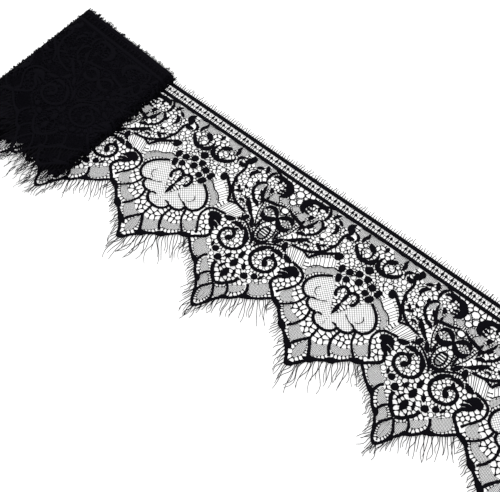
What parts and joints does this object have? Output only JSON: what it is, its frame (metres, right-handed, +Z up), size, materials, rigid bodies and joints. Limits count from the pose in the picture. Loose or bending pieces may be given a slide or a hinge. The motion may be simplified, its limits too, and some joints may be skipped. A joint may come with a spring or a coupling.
{
  "type": "roll of lace trim",
  "caption": "Flat hand-wound roll of scalloped eyelash lace trim, black, with its loose end unrolled flat on the table.",
  "frame": {"origin": "centre of the footprint, on the table", "axes": "+X along the band from the roll to the cut end, +Y from the points to the straight heading, +Z up"},
  "size_m": [0.3628, 0.1152, 0.0163],
  "materials": {
    "wound_lace": "matt black thread in many pressed turns",
    "lace_web": "matt black knitted lace",
    "lash_thread": "fine black thread ends",
    "heading_hair": "short cut black thread ends"
  },
  "bodies": {
    "root": {"roll": "wound_lace", "loose_end": "lace_web", "loose_end_lashes": "lash_thread", "loose_end_hairs": "heading_hair", "roll_lashes": "lash_thread", "roll_hairs": "heading_hair"}
  },
  "joints": []
}
